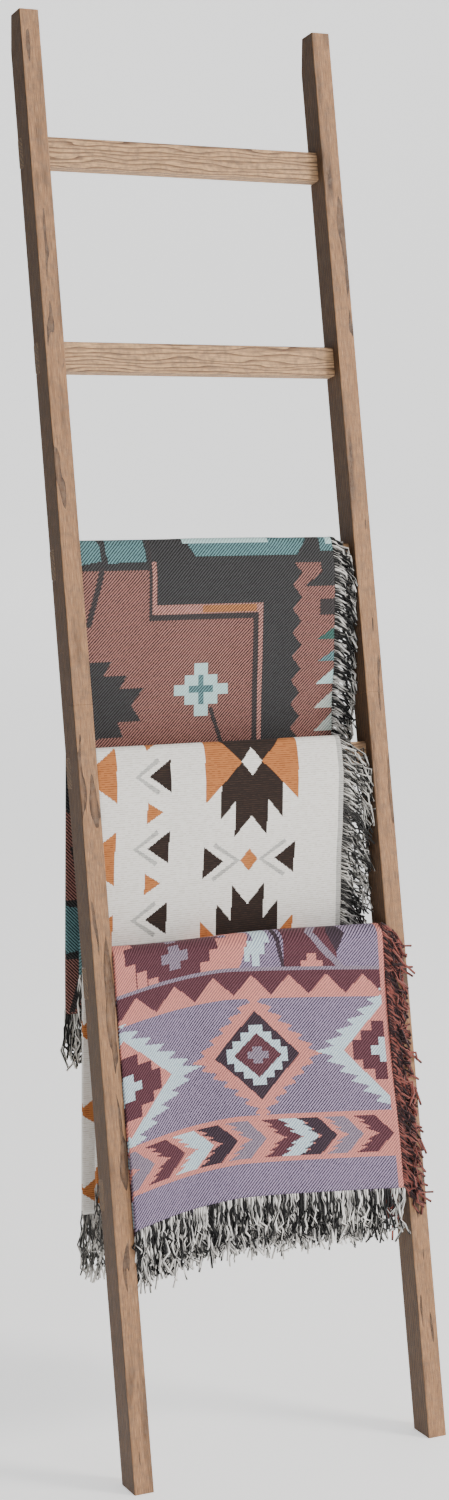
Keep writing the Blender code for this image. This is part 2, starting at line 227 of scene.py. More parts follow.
def settle(name, left, right, start, end):
    """Hang a coarse strip of cloth over its rung by simulation, and return how far it swells outward."""
    throw = THROWS[name]
    path = layer_path(corners_under(throw), REST_GAP + 2 * LAYER)
    across, rows = np.linspace(left, right, STRIP_COLUMNS), np.arange(start, end, STRIP_ROW)
    grid = np.zeros((len(rows), len(across), 3))
    for column, x in enumerate(across):
        grid[:, column, 0] = x
        grid[:, column, 1:] = on_path(path, rows) + outward(path, rows) * waves(name, x, rows)[:, None]
    strip = place(f"{name}_strip", cloth_mesh(f"{name}_strip", grid, grid[..., :2]))
    held = strip.vertex_groups.new(name="over_the_rung")
    near_top = np.repeat(np.abs(rows) < HELD, len(across))
    held.add(np.flatnonzero(near_top).tolist(), 1.0, "REPLACE")
    cloth = strip.modifiers.new("hang", "CLOTH")
    cloth.settings.quality = 6
    cloth.settings.mass = 0.9
    cloth.settings.tension_stiffness = cloth.settings.compression_stiffness = 20
    cloth.settings.bending_stiffness = 3
    cloth.settings.shrink_min = -0.012
    cloth.settings.vertex_group_mass = held.name
    cloth.collision_settings.distance_min = 2 * LAYER
    cloth.point_cache.frame_start, cloth.point_cache.frame_end = 1, SETTLING_FRAMES
    bars = []
    for number in range(1, throw["rung"] + 1):
        bar = bpy.data.objects.new(f"bar_{number}", NODES[f"rung_{number}"].data.copy())
        bpy.context.scene.collection.objects.link(bar)
        bar.modifiers.new("touch", "COLLISION")
        bars.append(bar)
    for step in range(1, SETTLING_FRAMES + 1):
        bpy.context.scene.frame_set(step)
    hung = strip.evaluated_get(bpy.context.evaluated_depsgraph_get()).data
    points = np.array([vertex.co for vertex in hung.vertices]).reshape(grid.shape)
    directions = outward(path, rows)[:, None, :]
    swell = ((points - grid)[..., 1:] * directions).sum(-1)
    for helper in [strip, *bars]:
        bpy.data.objects.remove(helper, do_unlink=True)
    bpy.context.scene.frame_set(1)
    for _ in range(SMOOTHINGS):
        padded = np.pad(swell, 1, mode="edge")
        swell = (padded[:-2, 1:-1] + padded[2:, 1:-1] + padded[1:-1, :-2] + padded[1:-1, 2:] + 2 * swell) / 6
    limited = MOST_SWELL * np.tanh(swell / (4 * MOST_SWELL))
    return across, rows, limited * room_for_swell(throw, rows)[:, None]


def swell_at(settled, x, where):
    """How far the settled cloth stands out along one column."""
    across, rows, swell = settled
    column = np.array([np.interp(x, across, row) for row in swell])
    return np.interp(where, rows, column)


def folded_section(left, right, inner):
    """Section of the layers, from the free edge of the outermost, as (x, layers out from the innermost)."""
    half = LAYER / 2
    near, far = left + half, left + inner
    points = []
    for number, (start, end) in enumerate([(right, near), (near, far), (far, near), (near, far)]):
        count = math.ceil(abs(end - start) / COLUMN) if number == 0 else HIDDEN_COLUMNS
        for step in range(count + 1):
            points.append((start + (end - start) * step / count, LAYERS - 0.5 - number))
        if number < LAYERS - 1:
            side = 1 if end > start else -1
            for step in (1, 2, 3):
                angle = math.pi * step / 4
                bulge = side * half * math.sin(angle)
                points.append((end + bulge, LAYERS - 1 - number + 0.5 * math.cos(angle)))
    return np.array(points)


def lengthwise_rows(start, end):
    """Row positions from start to end, close together where the cloth turns over its rung."""
    rows = [start]
    while rows[-1] < end - 1e-6:
        rows.append(min(end, rows[-1] + (FINE_ROW if abs(rows[-1]) < ROUND_RUNG else ROW)))
    return np.array(rows)


def single_surface(name, left, right, drop, settled):
    """Points of a throw hung in one pass, and its pattern positions."""
    throw = THROWS[name]
    section = folded_section(left, right, throw["inner"])
    rows = lengthwise_rows(-drop, WOVEN_LENGTH - drop)
    corners = corners_under(throw)
    grid = np.zeros((len(rows), len(section), 3))
    for column, (x, layer) in enumerate(section):
        path = layer_path(corners, REST_GAP + (layer + 0.5) * LAYER)
        where = rows + slip(name, x - left)
        swell = waves(name, x, where) + swell_at(settled, x, where)
        grid[:, column, 0] = x
        grid[:, column, 1:] = on_path(path, where)
        grid[:, column, 1:] += outward(path, where) * swell[:, None]
    u = np.broadcast_to(section[:, 0] - left, grid.shape[:2])
    v = np.broadcast_to(rows[:, None], grid.shape[:2])
    return grid, np.stack([u, v], axis=-1)


def outward(path, where):
    """Directions away from the rung along a path."""
    step = on_path(path, where + 0.001) - on_path(path, where - 0.001)
    step /= np.linalg.norm(step, axis=1)[:, None]
    return np.stack([step[:, 1], -step[:, 0]], axis=-1)


def doubled_surface(name, left, right, drop, settled):
    """Points of a throw folded end to end as well: an outer pass, a turn at the back, and an inner pass."""
    throw = THROWS[name]
    section = folded_section(left, right, throw["inner"])
    front = WOVEN_LENGTH / 2 - drop
    outer = lengthwise_rows(-drop, front)
    turn = np.arange(1, ROUND_STEPS) / ROUND_STEPS * math.pi
    corners = corners_under(throw)
    count = 2 * len(outer) + len(turn)
    grid = np.zeros((count, len(section), 3))
    along = np.concatenate([front - outer[::-1], np.full(len(turn), front + drop), front + 2 * drop + outer])
    for column, (x, layer) in enumerate(section):
        askew = slip(name, x - left)
        outer_path = layer_path(corners, REST_GAP + (LAYERS + 0.5 + layer) * LAYER)
        inner_path = layer_path(corners, REST_GAP + (LAYERS - 0.5 - layer) * LAYER)
        first = outer[::-1] + askew
        shorter = 0.002 + 0.045 * (x - left)
        last = outer + askew - shorter * (outer + drop) / (front + drop)
        swell = waves(name, x, first) + swell_at(settled, x, first)
        points = [on_path(outer_path, first) + outward(outer_path, first) * swell[:, None]]
        centre = on_path(layer_path(corners, REST_GAP + LAYERS * LAYER), np.array([-drop]) + askew)[0]
        radius = (layer + 0.5) * LAYER
        back, below = centre[0] + radius * np.cos(turn), centre[1] - radius * np.sin(turn)
        points.append(np.stack([back, below], axis=-1))
        swell = waves(name, x, last) + swell_at(settled, x, last)
        points.append(on_path(inner_path, last) + outward(inner_path, last) * swell[:, None])
        grid[:, column, 0] = x
        grid[:, column, 1:] = np.concatenate(points)
    u = np.broadcast_to(section[:, 0] - left, grid.shape[:2])
    v = np.broadcast_to(front - along[:, None], grid.shape[:2])
    return grid, np.stack([u, v], axis=-1)


def cloth_mesh(name, grid, pattern):
    """Mesh of a cloth grid, with its pattern positions as a UV map in metres."""
    rows, columns = grid.shape[:2]
    index = np.arange(rows * columns).reshape(rows, columns)
    corners = [index[:-1, :-1], index[:-1, 1:], index[1:, 1:], index[1:, :-1]]
    faces = np.stack(corners, axis=-1).reshape(-1, 4)
    mesh = bpy.data.meshes.new(name)
    mesh.from_pydata(grid.reshape(-1, 3).tolist(), [], faces.tolist())
    layer = mesh.uv_layers.new(name="weave")
    layer.data.foreach_set("uv", pattern.reshape(-1, 2)[faces.ravel()].ravel().astype(np.float32))
    mesh.shade_smooth()
    return mesh


def place(name, mesh, material=None):
    """Put a mesh into the scene at the origin, in one material."""
    piece = bpy.data.objects.new(name, mesh)
    bpy.context.scene.collection.objects.link(piece)
    if material is not None:
        mesh.materials.clear()
        mesh.materials.append(material)
    return piece


def applied(piece):
    """Turn what a piece's modifiers make into its plain mesh."""
    bpy.context.view_layer.update()
    mesh = bpy.data.meshes.new_from_object(piece.evaluated_get(bpy.context.evaluated_depsgraph_get()))
    piece.modifiers.clear()
    piece.data = mesh
    mesh.name = piece.name
    return piece


def front_edge(name):
    """Distance from the top of the rung to the edge of the fold, where the front of the cloth begins."""
    throw = THROWS[name]
    outermost = (2 * LAYERS if throw["leans"] else LAYERS) - 0.5
    path = layer_path(corners_under(throw), REST_GAP + outermost * LAYER)
    down = 0.2                        # any place on the straight front
    y, z = on_path(path, np.array([down]))[0]
    if throw["leans"]:
        up_the_rails = (y + HALF_DEPTH) * math.sin(LEAN) + z * math.cos(LEAN)
        return down - (LOWER_FRONT_TOP - up_the_rails)
    return down - (float(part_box(name)[1].z) - z)


def hang_cloth(name, material):
    """Make one throw's cloth, and return it with its grid of points."""
    low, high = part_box(name)
    throw = THROWS[name]
    if throw["leans"]:
        bottom = rung_section(throw["rung"])[2][1] - LOWER_BACK
        build, length = doubled_surface, WOVEN_LENGTH / 2
    else:
        bottom = low.z
        build, length = single_surface, WOVEN_LENGTH
    path = layer_path(corners_under(throw), REST_GAP + 2 * LAYER)
    down_the_back = np.linspace(-1.0, -0.02, 2000)
    heights = on_path(path, down_the_back)[:, 1]
    drop = -float(np.interp(bottom, heights, down_the_back))
    settled = settle(name, low.x, high.x, -drop, length - drop)
    grid, pattern = build(name, low.x, high.x, drop, settled)
    pattern = pattern - np.array((0.0, front_edge(name)))
    cloth = place(f"{name}_cloth", cloth_mesh(name, grid, pattern), material)
    solid = cloth.modifiers.new("thickness", "SOLIDIFY")
    solid.thickness = CLOTH
    solid.offset = 0
    applied(cloth)
    return cloth, grid


# ---------------------------------------------------------------- woven patterns

def band(u0, u1, v0, v1):
    """Outline of an upright rectangle."""
    return [(u0, v0), (u1, v0), (u1, v1), (u0, v1)]


def steps(*sizes, centre=(0, 0)):
    """Stepped cross or diamond as crossed bands, from half widths and half heights."""
    return [band(centre[0] - a, centre[0] + a, centre[1] - b, centre[1] + b) for a, b in sizes]


def diamond(a, b, centre=(0, 0)):
    """Outline of a diamond, from its half width and half height."""
    u, v = centre
    return [(u - a, v), (u, v - b), (u + a, v), (u, v + b)]


def within(tree, point, outline):
    """Field over the cloth that is positive inside a convex outline."""
    sides = list(zip(outline, outline[1:] + outline[:1]))
    turn = 1 if sum(a[0] * b[1] - b[0] * a[1] for a, b in sides) > 0 else -1
    inside = None
    for (u0, v0), (u1, v1) in sides:
        length = math.hypot(u1 - u0, v1 - v0) * turn
        across, down = (v0 - v1) / length, (u1 - u0) / length
        line = (across, down, -across * u0 - down * v0)
        side = add(tree, "ShaderNodeVectorMath", point, line, operation="DOT_PRODUCT")
        inside = side if inside is None else add(tree, "ShaderNodeMath", inside, side, operation="MINIMUM")
    return inside


def weave_in(tree, yarns, motifs):
    """Change the pair of yarns inside each motif in turn: where it is read, its pair, and its outlines."""
    for point, pair, outlines in motifs:
        inside = None
        for outline in outlines:
            field = within(tree, point, outline)
            if inside is None:
                inside = field
            else:
                inside = add(tree, "ShaderNodeMath", inside, field, operation="MAXIMUM")
        inside = add(tree, "ShaderNodeMath", inside, 0.0, operation="GREATER_THAN")
        yarns = [add(tree, "ShaderNodeMix", inside, yarn, linear(code), data_type="RGBA")
                 for yarn, code in zip(yarns, pair)]
    return yarns


def cloth_point(tree, period, stitch):
    """Place on the cloth in mm, and the same snapped to the stitch and mirrored where the pattern runs on."""
    on_cloth = add(tree, "ShaderNodeUVMap", uv_map="weave")
    split = add(tree, "ShaderNodeSeparateXYZ", on_cloth).node
    across = add(tree, "ShaderNodeMath", split.outputs["X"], 1000.0, operation="MULTIPLY")
    down = add(tree, "ShaderNodeMath", split.outputs["Y"], 1000.0, operation="MULTIPLY")
    u = add(tree, "ShaderNodeMath", across, stitch, operation="SNAP")
    v = add(tree, "ShaderNodeMath", down, stitch, operation="SNAP")
    if period:
        v = add(tree, "ShaderNodeMath", v, operation="ABSOLUTE")
        v = add(tree, "ShaderNodeMath", v, period, operation="PINGPONG")
    return across, down, u, v


STITCH = 1.5                      # mm, steps in which a motif's outline is woven
RIBBED_STITCH = 1.4
TWILL = 2.2                       # mm, half the way from one diagonal ridge to the next
FLOAT = (1.7, 1.2)                # mm, length and width of one float of yarn
UNEVEN = 0.25                     # how much floats differ


def twill_specks(tree, across, down, share):
    """1 on the floats of the second yarn, and the height of the twill's ridges.

    The short diagonals are 4.4 mm apart, twice as coarse as the real twill, so that they show."""
    lean = add(tree, "ShaderNodeMath", across, down, operation="ADD")
    ridge = add(tree, "ShaderNodeMath", lean, TWILL, operation="PINGPONG")
    ridge = add(tree, "ShaderNodeMath", ridge, 1 / TWILL, operation="MULTIPLY")
    along = add(tree, "ShaderNodeMath", across, FLOAT[0], operation="SNAP")
    beside = add(tree, "ShaderNodeMath", down, FLOAT[1], operation="SNAP")
    cell = add(tree, "ShaderNodeCombineXYZ", along, beside, 0.0)
    chance = add(tree, "ShaderNodeTexWhiteNoise", cell)
    mixed = add(tree, "ShaderNodeMath", chance, UNEVEN, ridge, operation="MULTIPLY_ADD")
    return add(tree, "ShaderNodeMath", mixed, 1 + UNEVEN / 2 - share, operation="GREATER_THAN"), ridge


def woven_cloth(tree, colour, height):
    """Finish of woven cotton: matt, with the relief of its threads, a little fuzz and uneven dye."""
    here = add(tree, "ShaderNodeTexCoord").node.outputs["Object"]
    uneven = add(tree, "ShaderNodeTexNoise", here, None, 9.0, 4.0)
    tone = add(tree, "ShaderNodeMapRange", uneven, 0.3, 0.7, 0.93, 1.05)
    colour = add(tree, "ShaderNodeVectorMath", colour, tone, operation="MULTIPLY")
    relief = add(tree, "ShaderNodeBump", 0.5, 0.0006, named={"Height": height})
    cloth = add(tree, "ShaderNodeBsdfPrincipled", colour, named={
        "Roughness": 0.92, "Sheen Weight": 0.03, "Sheen Roughness": 0.6, "Normal": relief})
    finish_material(tree, cloth)


# Yarns of the upper throw: the ground and its specks
CHARCOAL = ("#131212", "#434345")
ROSE = ("#a6746a", "#251615")
TEAL = ("#6f9a9e", "#263f42")
DEEP_TEAL = ("#3f7068", "#1f3a36")
AQUA = ("#c4e6e6", "#a0bcbc")
PALE_AQUA = ("#d3dcd4", "#8f9c96")
ORANGE = ("#c98753", "#4a2c1e")
PINK_LINE = ("#cf968a", "#4c2f2b")
SOOT = ("#1e1b1c", "#443e3f")


def make_upper_weave():
    """Cotton jacquard of charcoal, dusty rose and teal: a dense twill whose specks dull each colour."""
    material, tree = new_material("cotton_jacquard_charcoal_and_rose")
    across, down, u, v = cloth_point(tree, 258.0, STITCH)
    flat = add(tree, "ShaderNodeCombineXYZ", u, v, 1.0)
    bite = add(tree, "ShaderNodeMath", v, 60.0, operation="SUBTRACT")
    bite = add(tree, "ShaderNodeMath", bite, 15.5, operation="PINGPONG")
    bite = add(tree, "ShaderNodeMath", bite, -13 / 15.5, u, operation="MULTIPLY_ADD")
    zigzag = add(tree, "ShaderNodeCombineXYZ", bite, v, 1.0)
    cross = (165, 190)
    yarns = weave_in(tree, [linear(code) for code in CHARCOAL], [
        (flat, ROSE, [band(-9, 91, 38, 300), band(89, 238, 101, 300)]),
        (zigzag, ROSE, [[(294, 32), (332, 32), (312, 62), (294, 62)], band(294, 420, 62, 300)]),
        (flat, PINK_LINE, [band(95, 102, 27, 94), band(95, 252, 82, 94), band(245, 252, 82, 300)]),
        (flat, ORANGE, [band(165, 242, 83, 92)]),
        (flat, SOOT, [
            band(90, 95, 0, 101), band(95, 245, 94, 101), band(238, 245, 94, 300),
            [(23, 34), (31, 34), (11, 107), (3, 107)], [(175, 214), (181, 214), (197, 260), (191, 260)],
            band(333, 420, 78, 100)]),
        (flat, TEAL, [
            [(-9, -9), (18, -9), (26, 8), (26, 26), (-9, 32)], [(33, -9), (86, -9), (88, 27), (35, 29)],
            [(138, -9), (324, -9), (302, 22), (157, 22)], band(337, 420, -9, 18)]),
        (flat, AQUA, [band(140, 262, -9, 5), band(346, 420, -9, 8)]),
        (flat, DEEP_TEAL, [[(330, 131), (360, 131), (360, 113)]]),
        (flat, TEAL, [[(331, 160), (360, 160), (360, 143)]]),
        (flat, AQUA, [
            [(329, 190), (360, 190), (360, 166)], *steps((38.5, 7), (24, 19), (10.5, 34), centre=cross)]),
        (flat, PALE_AQUA, [[(328, 221), (360, 221), (360, 196)], [(329, 251), (360, 251), (360, 224)]]),
        (flat, TEAL, steps((4.5, 19), (17, 4.5), centre=cross)),
        (flat, CHARCOAL, [
            [(-9, 150), (40, 150), (27, 171), (-9, 171)], [(-9, 169), (62, 168), (50, 187), (-9, 187)],
            [(-9, 186), (85, 185), (67, 207), (-9, 207)], [(-9, 206), (67, 206), (81, 227), (-9, 228)],
            [(-9, 226), (48, 227), (57, 247), (-9, 248)]]),
    ])
    specks, ridge = twill_specks(tree, across, down, 0.50)
    colour = add(tree, "ShaderNodeMix", specks, *yarns, data_type="RGBA")
    woven_cloth(tree, colour, ridge)
    return material


# Yarns of the middle throw
CREAM = ("#faf7f1", "#dcd6cb")
BARK = ("#20120b", "#38251b")
TAN = ("#c07840", "#8c4c22")
ASH = ("#c3c2bd", "#8f8e8a")
RIB = 1.35                        # mm, half the way from one weft rib to the next


def make_middle_weave():
    """Cream cotton with fine weft ribs, and motifs in bark brown, tan and ash grey."""
    material, tree = new_material("cotton_ribbed_cream")
    across, down, u, v = cloth_point(tree, None, RIBBED_STITCH)
    shifted = add(tree, "ShaderNodeMath", v, 0.028, u, operation="MULTIPLY_ADD")
    offset = add(tree, "ShaderNodeMath", shifted, 213.7, operation="SUBTRACT")
    offset = add(tree, "ShaderNodeMath", offset, operation="ABSOLUTE")
    repeat = add(tree, "ShaderNodeMath", v, 25.5, operation="SUBTRACT")
    repeat = add(tree, "ShaderNodeMath", repeat, 125.5, operation="PINGPONG")
    medallion = add(tree, "ShaderNodeCombineXYZ", offset, repeat, 1.0)
    arrow = add(tree, "ShaderNodeMath", v, 37.5, operation="SUBTRACT")
    arrow = add(tree, "ShaderNodeMath", arrow, 45.0, operation="PINGPONG")
    arrow = add(tree, "ShaderNodeCombineXYZ", shifted, arrow, 1.0)
    wing = add(tree, "ShaderNodeMath", v, 33.5, operation="SUBTRACT")
    wing = add(tree, "ShaderNodeMath", wing, 52.0, operation="PINGPONG")
    wing = add(tree, "ShaderNodeCombineXYZ", shifted, wing, 1.0)
    flat = add(tree, "ShaderNodeCombineXYZ", u, v, 1.0)
    yarns = weave_in(tree, [linear(code) for code in CREAM], [
        (medallion, TAN, [[(14, 0), (66, -9), (66, 50)], diamond(12.5, 14.5, (0, 125.5))]),
        (medallion, BARK, [
            [(0, 0), (14, 0), (44, 28.5), (44, 72), (0, 22.5)], [(0, 8), (23, 8), (23, 94.5), (0, 68.5)],
            [(65, 105), (65, 146), (36.5, 125.5)]]),
        (medallion, CREAM, [diamond(14.5, 18)]),
        (medallion, ASH, [[(13, 125.6), (49, 101), (53, 105), (20, 125.6)]]),
        (arrow, ASH, [[(50, -0.1), (82, 23), (85, 18), (57, -0.1)]]),
        (arrow, BARK, [[(70, 0), (100, 20.5), (100, -20.5)]]),
        (arrow, TAN, [[(68, 31.5), (68, 58.5), (90, 45)]]),
        (wing, TAN, [[(26, 34), (26, -34), (-22, 0)]]),
        (flat, ASH, [band(337, 400, -900, 900)]),
    ])
    rib = add(tree, "ShaderNodeMath", down, RIB, operation="PINGPONG")
    rib = add(tree, "ShaderNodeMath", rib, 1 / RIB, operation="MULTIPLY")
    along = add(tree, "ShaderNodeMath", across, 4.0, operation="SNAP")
    beside = add(tree, "ShaderNodeMath", down, 2 * RIB, operation="SNAP")
    chance = add(tree, "ShaderNodeTexWhiteNoise", add(tree, "ShaderNodeCombineXYZ", along, beside, 0.0))
    specks = add(tree, "ShaderNodeMath", chance, 0.45, rib, operation="MULTIPLY_ADD")
    specks = add(tree, "ShaderNodeMapRange", specks, 0.75, 1.3, 0.0, 1.0)
    colour = add(tree, "ShaderNodeMix", specks, *yarns, data_type="RGBA")
    woven_cloth(tree, colour, rib)
    return material


# Yarns of the lower throw
LAVENDER = ("#a493b0", "#2a1e36")
MAROON = ("#3f1722", "#6b3f49")
PINK = ("#ea9485", "#97605f")
SKY = ("#d6ecf0", "#93a4b8")
PLUM = ("#23141f", "#43323f")
MIST = ("#9d8f9f", "#54465a")


def mirrored(tree, u, v, centre, half_tooth, bite):
    """Place mirrored about a centre, plain and with saw teeth, which are bite times as deep as half_tooth."""
    a = add(tree, "ShaderNodeMath", u, centre[0], operation="SUBTRACT")
    a = add(tree, "ShaderNodeMath", a, operation="ABSOLUTE")
    b = add(tree, "ShaderNodeMath", v, centre[1], operation="SUBTRACT")
    b = add(tree, "ShaderNodeMath", b, operation="ABSOLUTE")
    cut = add(tree, "ShaderNodeMath", b, half_tooth, operation="PINGPONG")
    cut = add(tree, "ShaderNodeMath", cut, bite, a, operation="MULTIPLY_ADD")
    smooth = add(tree, "ShaderNodeCombineXYZ", a, b, 1.0)
    return smooth, add(tree, "ShaderNodeCombineXYZ", cut, b, 1.0)


def make_lower_weave():
    """Cotton jacquard of lavender grey, maroon and pink, with saw-edged medallions and a row of arrows."""
    material, tree = new_material("cotton_jacquard_lavender_and_maroon")
    across, down, u, v = cloth_point(tree, 330.0, STITCH)
    flat = add(tree, "ShaderNodeCombineXYZ", u, v, 1.0)
    saw = add(tree, "ShaderNodeMath", u, 24.0, operation="SUBTRACT")
    saw = add(tree, "ShaderNodeMath", saw, 26.7, operation="PINGPONG")
    saw = add(tree, "ShaderNodeCombineXYZ", saw, v, 1.0)
    eye, jagged_eye = mirrored(tree, u, v, (185, 151), 6.0, 2.3)
    left, jagged_left = mirrored(tree, u, v, (3, 156), 6.5, 2.9)
    right, jagged_right = mirrored(tree, u, v, (370, 149), 6.5, 2.9)
    motifs = [
        (flat, MAROON, [band(-9, 146, -9, 42), band(232, 308, -9, 42)]),
        (flat, PINK, [
            band(-9, 13, -9, 42), band(13, 27, 10, 42), band(27, 42, 22, 42), band(42, 56, 33, 42),
            [(158, -9), (190, -9), (168, 42), (150, 42)], band(140, 160, 4, 42), band(128, 160, 16, 42),
            band(114, 150, 29, 42), *steps((7, 18), (16, 9), centre=(271, 42))]),
        (flat, MIST, [*steps((18, 6), (8, 14), centre=(80, 16)),
                      [(255, -9), (268, -9), (318, 42), (306, 42)]]),
        (flat, PLUM, [[(290, -9), (326, -9), (308, 24)], [(216, -9), (224, -9), (233, 42), (228, 42)]]),
        (flat, SKY, [band(190, 212, -9, 12), band(180, 205, 10, 24), band(186, 198, 24, 40),
                     band(176, 184, 16, 34)]),
        (flat, MIST, [band(-9, 420, 41, 46)]),
        (flat, MAROON, [band(-9, 420, 46, 78)]),
        (saw, PINK, [[(-30, 79), (0, 51), (30, 79)], band(-9, 30, 77, 81)]),
        (jagged_eye, PINK, [diamond(92, 82)]),
        (eye, PLUM, [diamond(60, 55.5)]),
        (eye, SKY, steps((43, 9), (34, 19), (22, 29), (10, 38))),
        (eye, MAROON, [diamond(34, 28)]),
        (eye, MIST, steps((15, 4), (7, 10))),
    ]
    for side, jagged in ((left, jagged_left), (right, jagged_right)):
        motifs += [
            (jagged, SKY, [diamond(104, 82)]),
            (side, PINK, [diamond(62, 59)]),
            (side, MAROON, steps((48, 13), (35, 25), (18, 38))),
            (side, SKY, steps((21, 6), (10, 16))),
        ]
    motifs.append((flat, PINK, [band(-9, 420, 226, 284)]))
    yarns = weave_in(tree, [linear(code) for code in LAVENDER], motifs)

    rise = add(tree, "ShaderNodeMath", v, 255.0, operation="SUBTRACT")
    rise = add(tree, "ShaderNodeMath", rise, operation="ABSOLUTE")
    point = add(tree, "ShaderNodeMath", rise, 1.1, u, operation="MULTIPLY_ADD")
    notch = add(tree, "ShaderNodeMath", rise, 8.0, operation="MODULO")
    notch = add(tree, "ShaderNodeMath", notch, 1.3, point, operation="MULTIPLY_ADD")
    arrows = add(tree, "ShaderNodeCombineXYZ", point, notch, 1.0)
    row = within(tree, flat, band(-9, 420, 232, 278))
    row = add(tree, "ShaderNodeMath", row, 0.0, operation="GREATER_THAN")
    tips = ((31, MIST), (75, MAROON), (114, SKY), (147, PLUM), (187, MIST), (237, MAROON), (261, SKY),
            (287, PLUM), (326, MIST), (370, MAROON))
    heads = weave_in(tree, yarns, [
        (arrows, pair, [[(tip - 900, tip - 22), (tip, tip - 22), (tip, tip + 900), (tip - 900, tip + 900)]])
        for tip, pair in tips])
    yarns = [add(tree, "ShaderNodeMix", row, yarn, head, data_type="RGBA")
             for yarn, head in zip(yarns, heads)]
    yarns = weave_in(tree, yarns, [(flat, PINK, [band(369, 420, -9, 400)])])
    specks, ridge = twill_specks(tree, across, down, 0.45)
    colour = add(tree, "ShaderNodeMix", specks, *yarns, data_type="RGBA")
    woven_cloth(tree, colour, ridge)
    return material


# ---------------------------------------------------------------- twisted fringes

FROM_WOOD = 0.0024                # a strand's middle keeps this far from rails and rungs
FROM_RAIL_FRONT = 0.0016
TWISTS = 42.0                     # turns of the plies in a metre, half as many as real, so that they show


def root_rows(name, grid):
    """Edges of a throw that carry fringe: rows of points, the way strands leave, and what holds them back.

    Strands stay between the rails, apart from those of the lowest throw's outer side, which lie on the front
    of the right rail. On an end that hangs behind its rung they stay behind it."""
    leans = THROWS[name]["leans"]
    front_top, back_top = rung_section(THROWS[name]["rung"])[1:]
    between_rails = FROM_WOOD - INNER_FACE
    rail_front = OUT_OF_RAIL.dot(Vector((0, *in_world(0.5, 0.0)))) + FROM_RAIL_FRONT
    rows = []
    for number, edge in enumerate((grid[:, 0], grid[:, -1])):
        guards = np.tile((-1.0, 0.0, 0.0), (len(edge), 1))
        reach = np.full(len(edge), between_rails)
        if leans and number == 1:
            aim = np.tile((0.45, 0.0, -0.5), (len(edge), 1))
        elif leans:
            behind = edge[:, 1] > front_top[0] + 0.016
            guards = np.where(behind[:, None], guards, tuple(OUT_OF_RAIL))
            reach = np.where(behind, reach, rail_front)
            aim = np.where(behind[:, None], (0.5, 0.0, -0.4), (0.62, -0.20, -0.22))
        else:
            aim = np.tile((0.9, 0.0, 0.0), (len(edge), 1))
            aim[:, 1] = np.where(edge[:, 1] < front_top[0], -0.12, 0.12)
        rows.append((edge, aim, guards, reach, 0.0))
    for edge in (grid[0], grid[-1]):
        aim = np.tile((0.0, -0.10 if leans else 0.0, -0.8), (len(edge), 1))
        behind = edge[:, 1] > back_top[0]
        guards = np.where(behind[:, None], (0.0, 1.0, 0.0), (0.0, 0.0, 0.0))
        reach = np.where(behind, back_top[0] + FROM_WOOD, -1.0)
        rows.append((edge, aim, guards, reach, 1.0))
    return rows


def root_mesh(name, grid):
    """Lines of fringe roots, each point with its aim, its guard plane and whether it is on an end."""
    points, edges, aims, guards, reaches, ends = [], [], [], [], [], []
    for edge, aim, guard, reach, end in root_rows(name, grid):
        first = len(points)
        points += edge.tolist()
        edges += [(first + k, first + k + 1) for k in range(len(edge) - 1)]
        aims.append(aim)
        guards.append(guard)
        reaches.append(reach)
        ends.append(np.full(len(edge), end))
    mesh = bpy.data.meshes.new(f"{name}_fringe")
    mesh.from_pydata(points, edges, [])
    for label, kind, field, values in (
            ("aim", "FLOAT_VECTOR", "vector", aims), ("guard", "FLOAT_VECTOR", "vector", guards),
            ("reach", "FLOAT", "value", reaches), ("end", "FLOAT", "value", ends)):
        attribute = mesh.attributes.new(label, kind, "POINT")
        attribute.data.foreach_set(field, np.concatenate(values).ravel().astype(np.float32))
    return mesh


